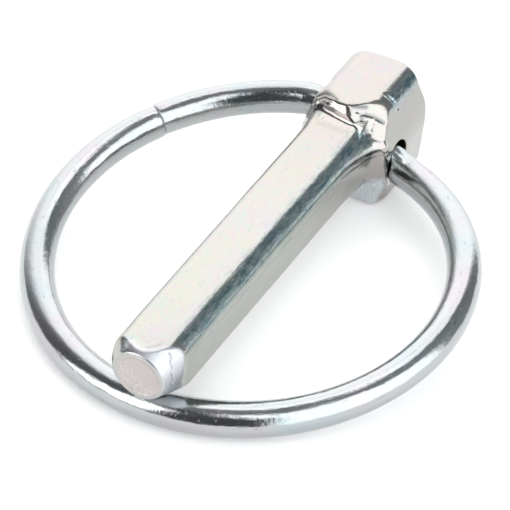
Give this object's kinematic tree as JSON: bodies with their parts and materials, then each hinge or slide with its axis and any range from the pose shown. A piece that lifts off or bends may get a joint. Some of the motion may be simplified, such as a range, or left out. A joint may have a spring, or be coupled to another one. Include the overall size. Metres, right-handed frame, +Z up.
{
  "type": "lynch pin",
  "caption": "Forged zinc-plated lynch pin: near-square shank, chamfered tip and bulky head, with a sprung wire ring that swings in the head's hole and closes over the tip.",
  "frame": {"origin": "middle of the footprint on the floor that the pin lies on", "axes": "+X along the shank from tip to head, +Y to the left seen from the tip, +Z up; the pin lies closed on its head's foot and the near side of the ring"},
  "size_m": [0.0576, 0.0522, 0.0139],
  "materials": {
    "forged_zinc": "bright zinc plate over a drop forging, faint pink, yellow and green tints, fine pits and scratches",
    "wire_zinc": "bright zinc plate over drawn wire, faint blue and pink tints"
  },
  "bodies": {
    "pin": {"pin": "forged_zinc"},
    "ring": {"ring": "wire_zinc"}
  },
  "joints": [
    {"name": "ring_swing", "type": "hinge", "parent": "pin", "child": "ring", "pos_m": [0.02067, -0.00163, 0.00797], "axis": [0, -0.9048, -0.4258], "range_deg": [0, 180]}
  ]
}
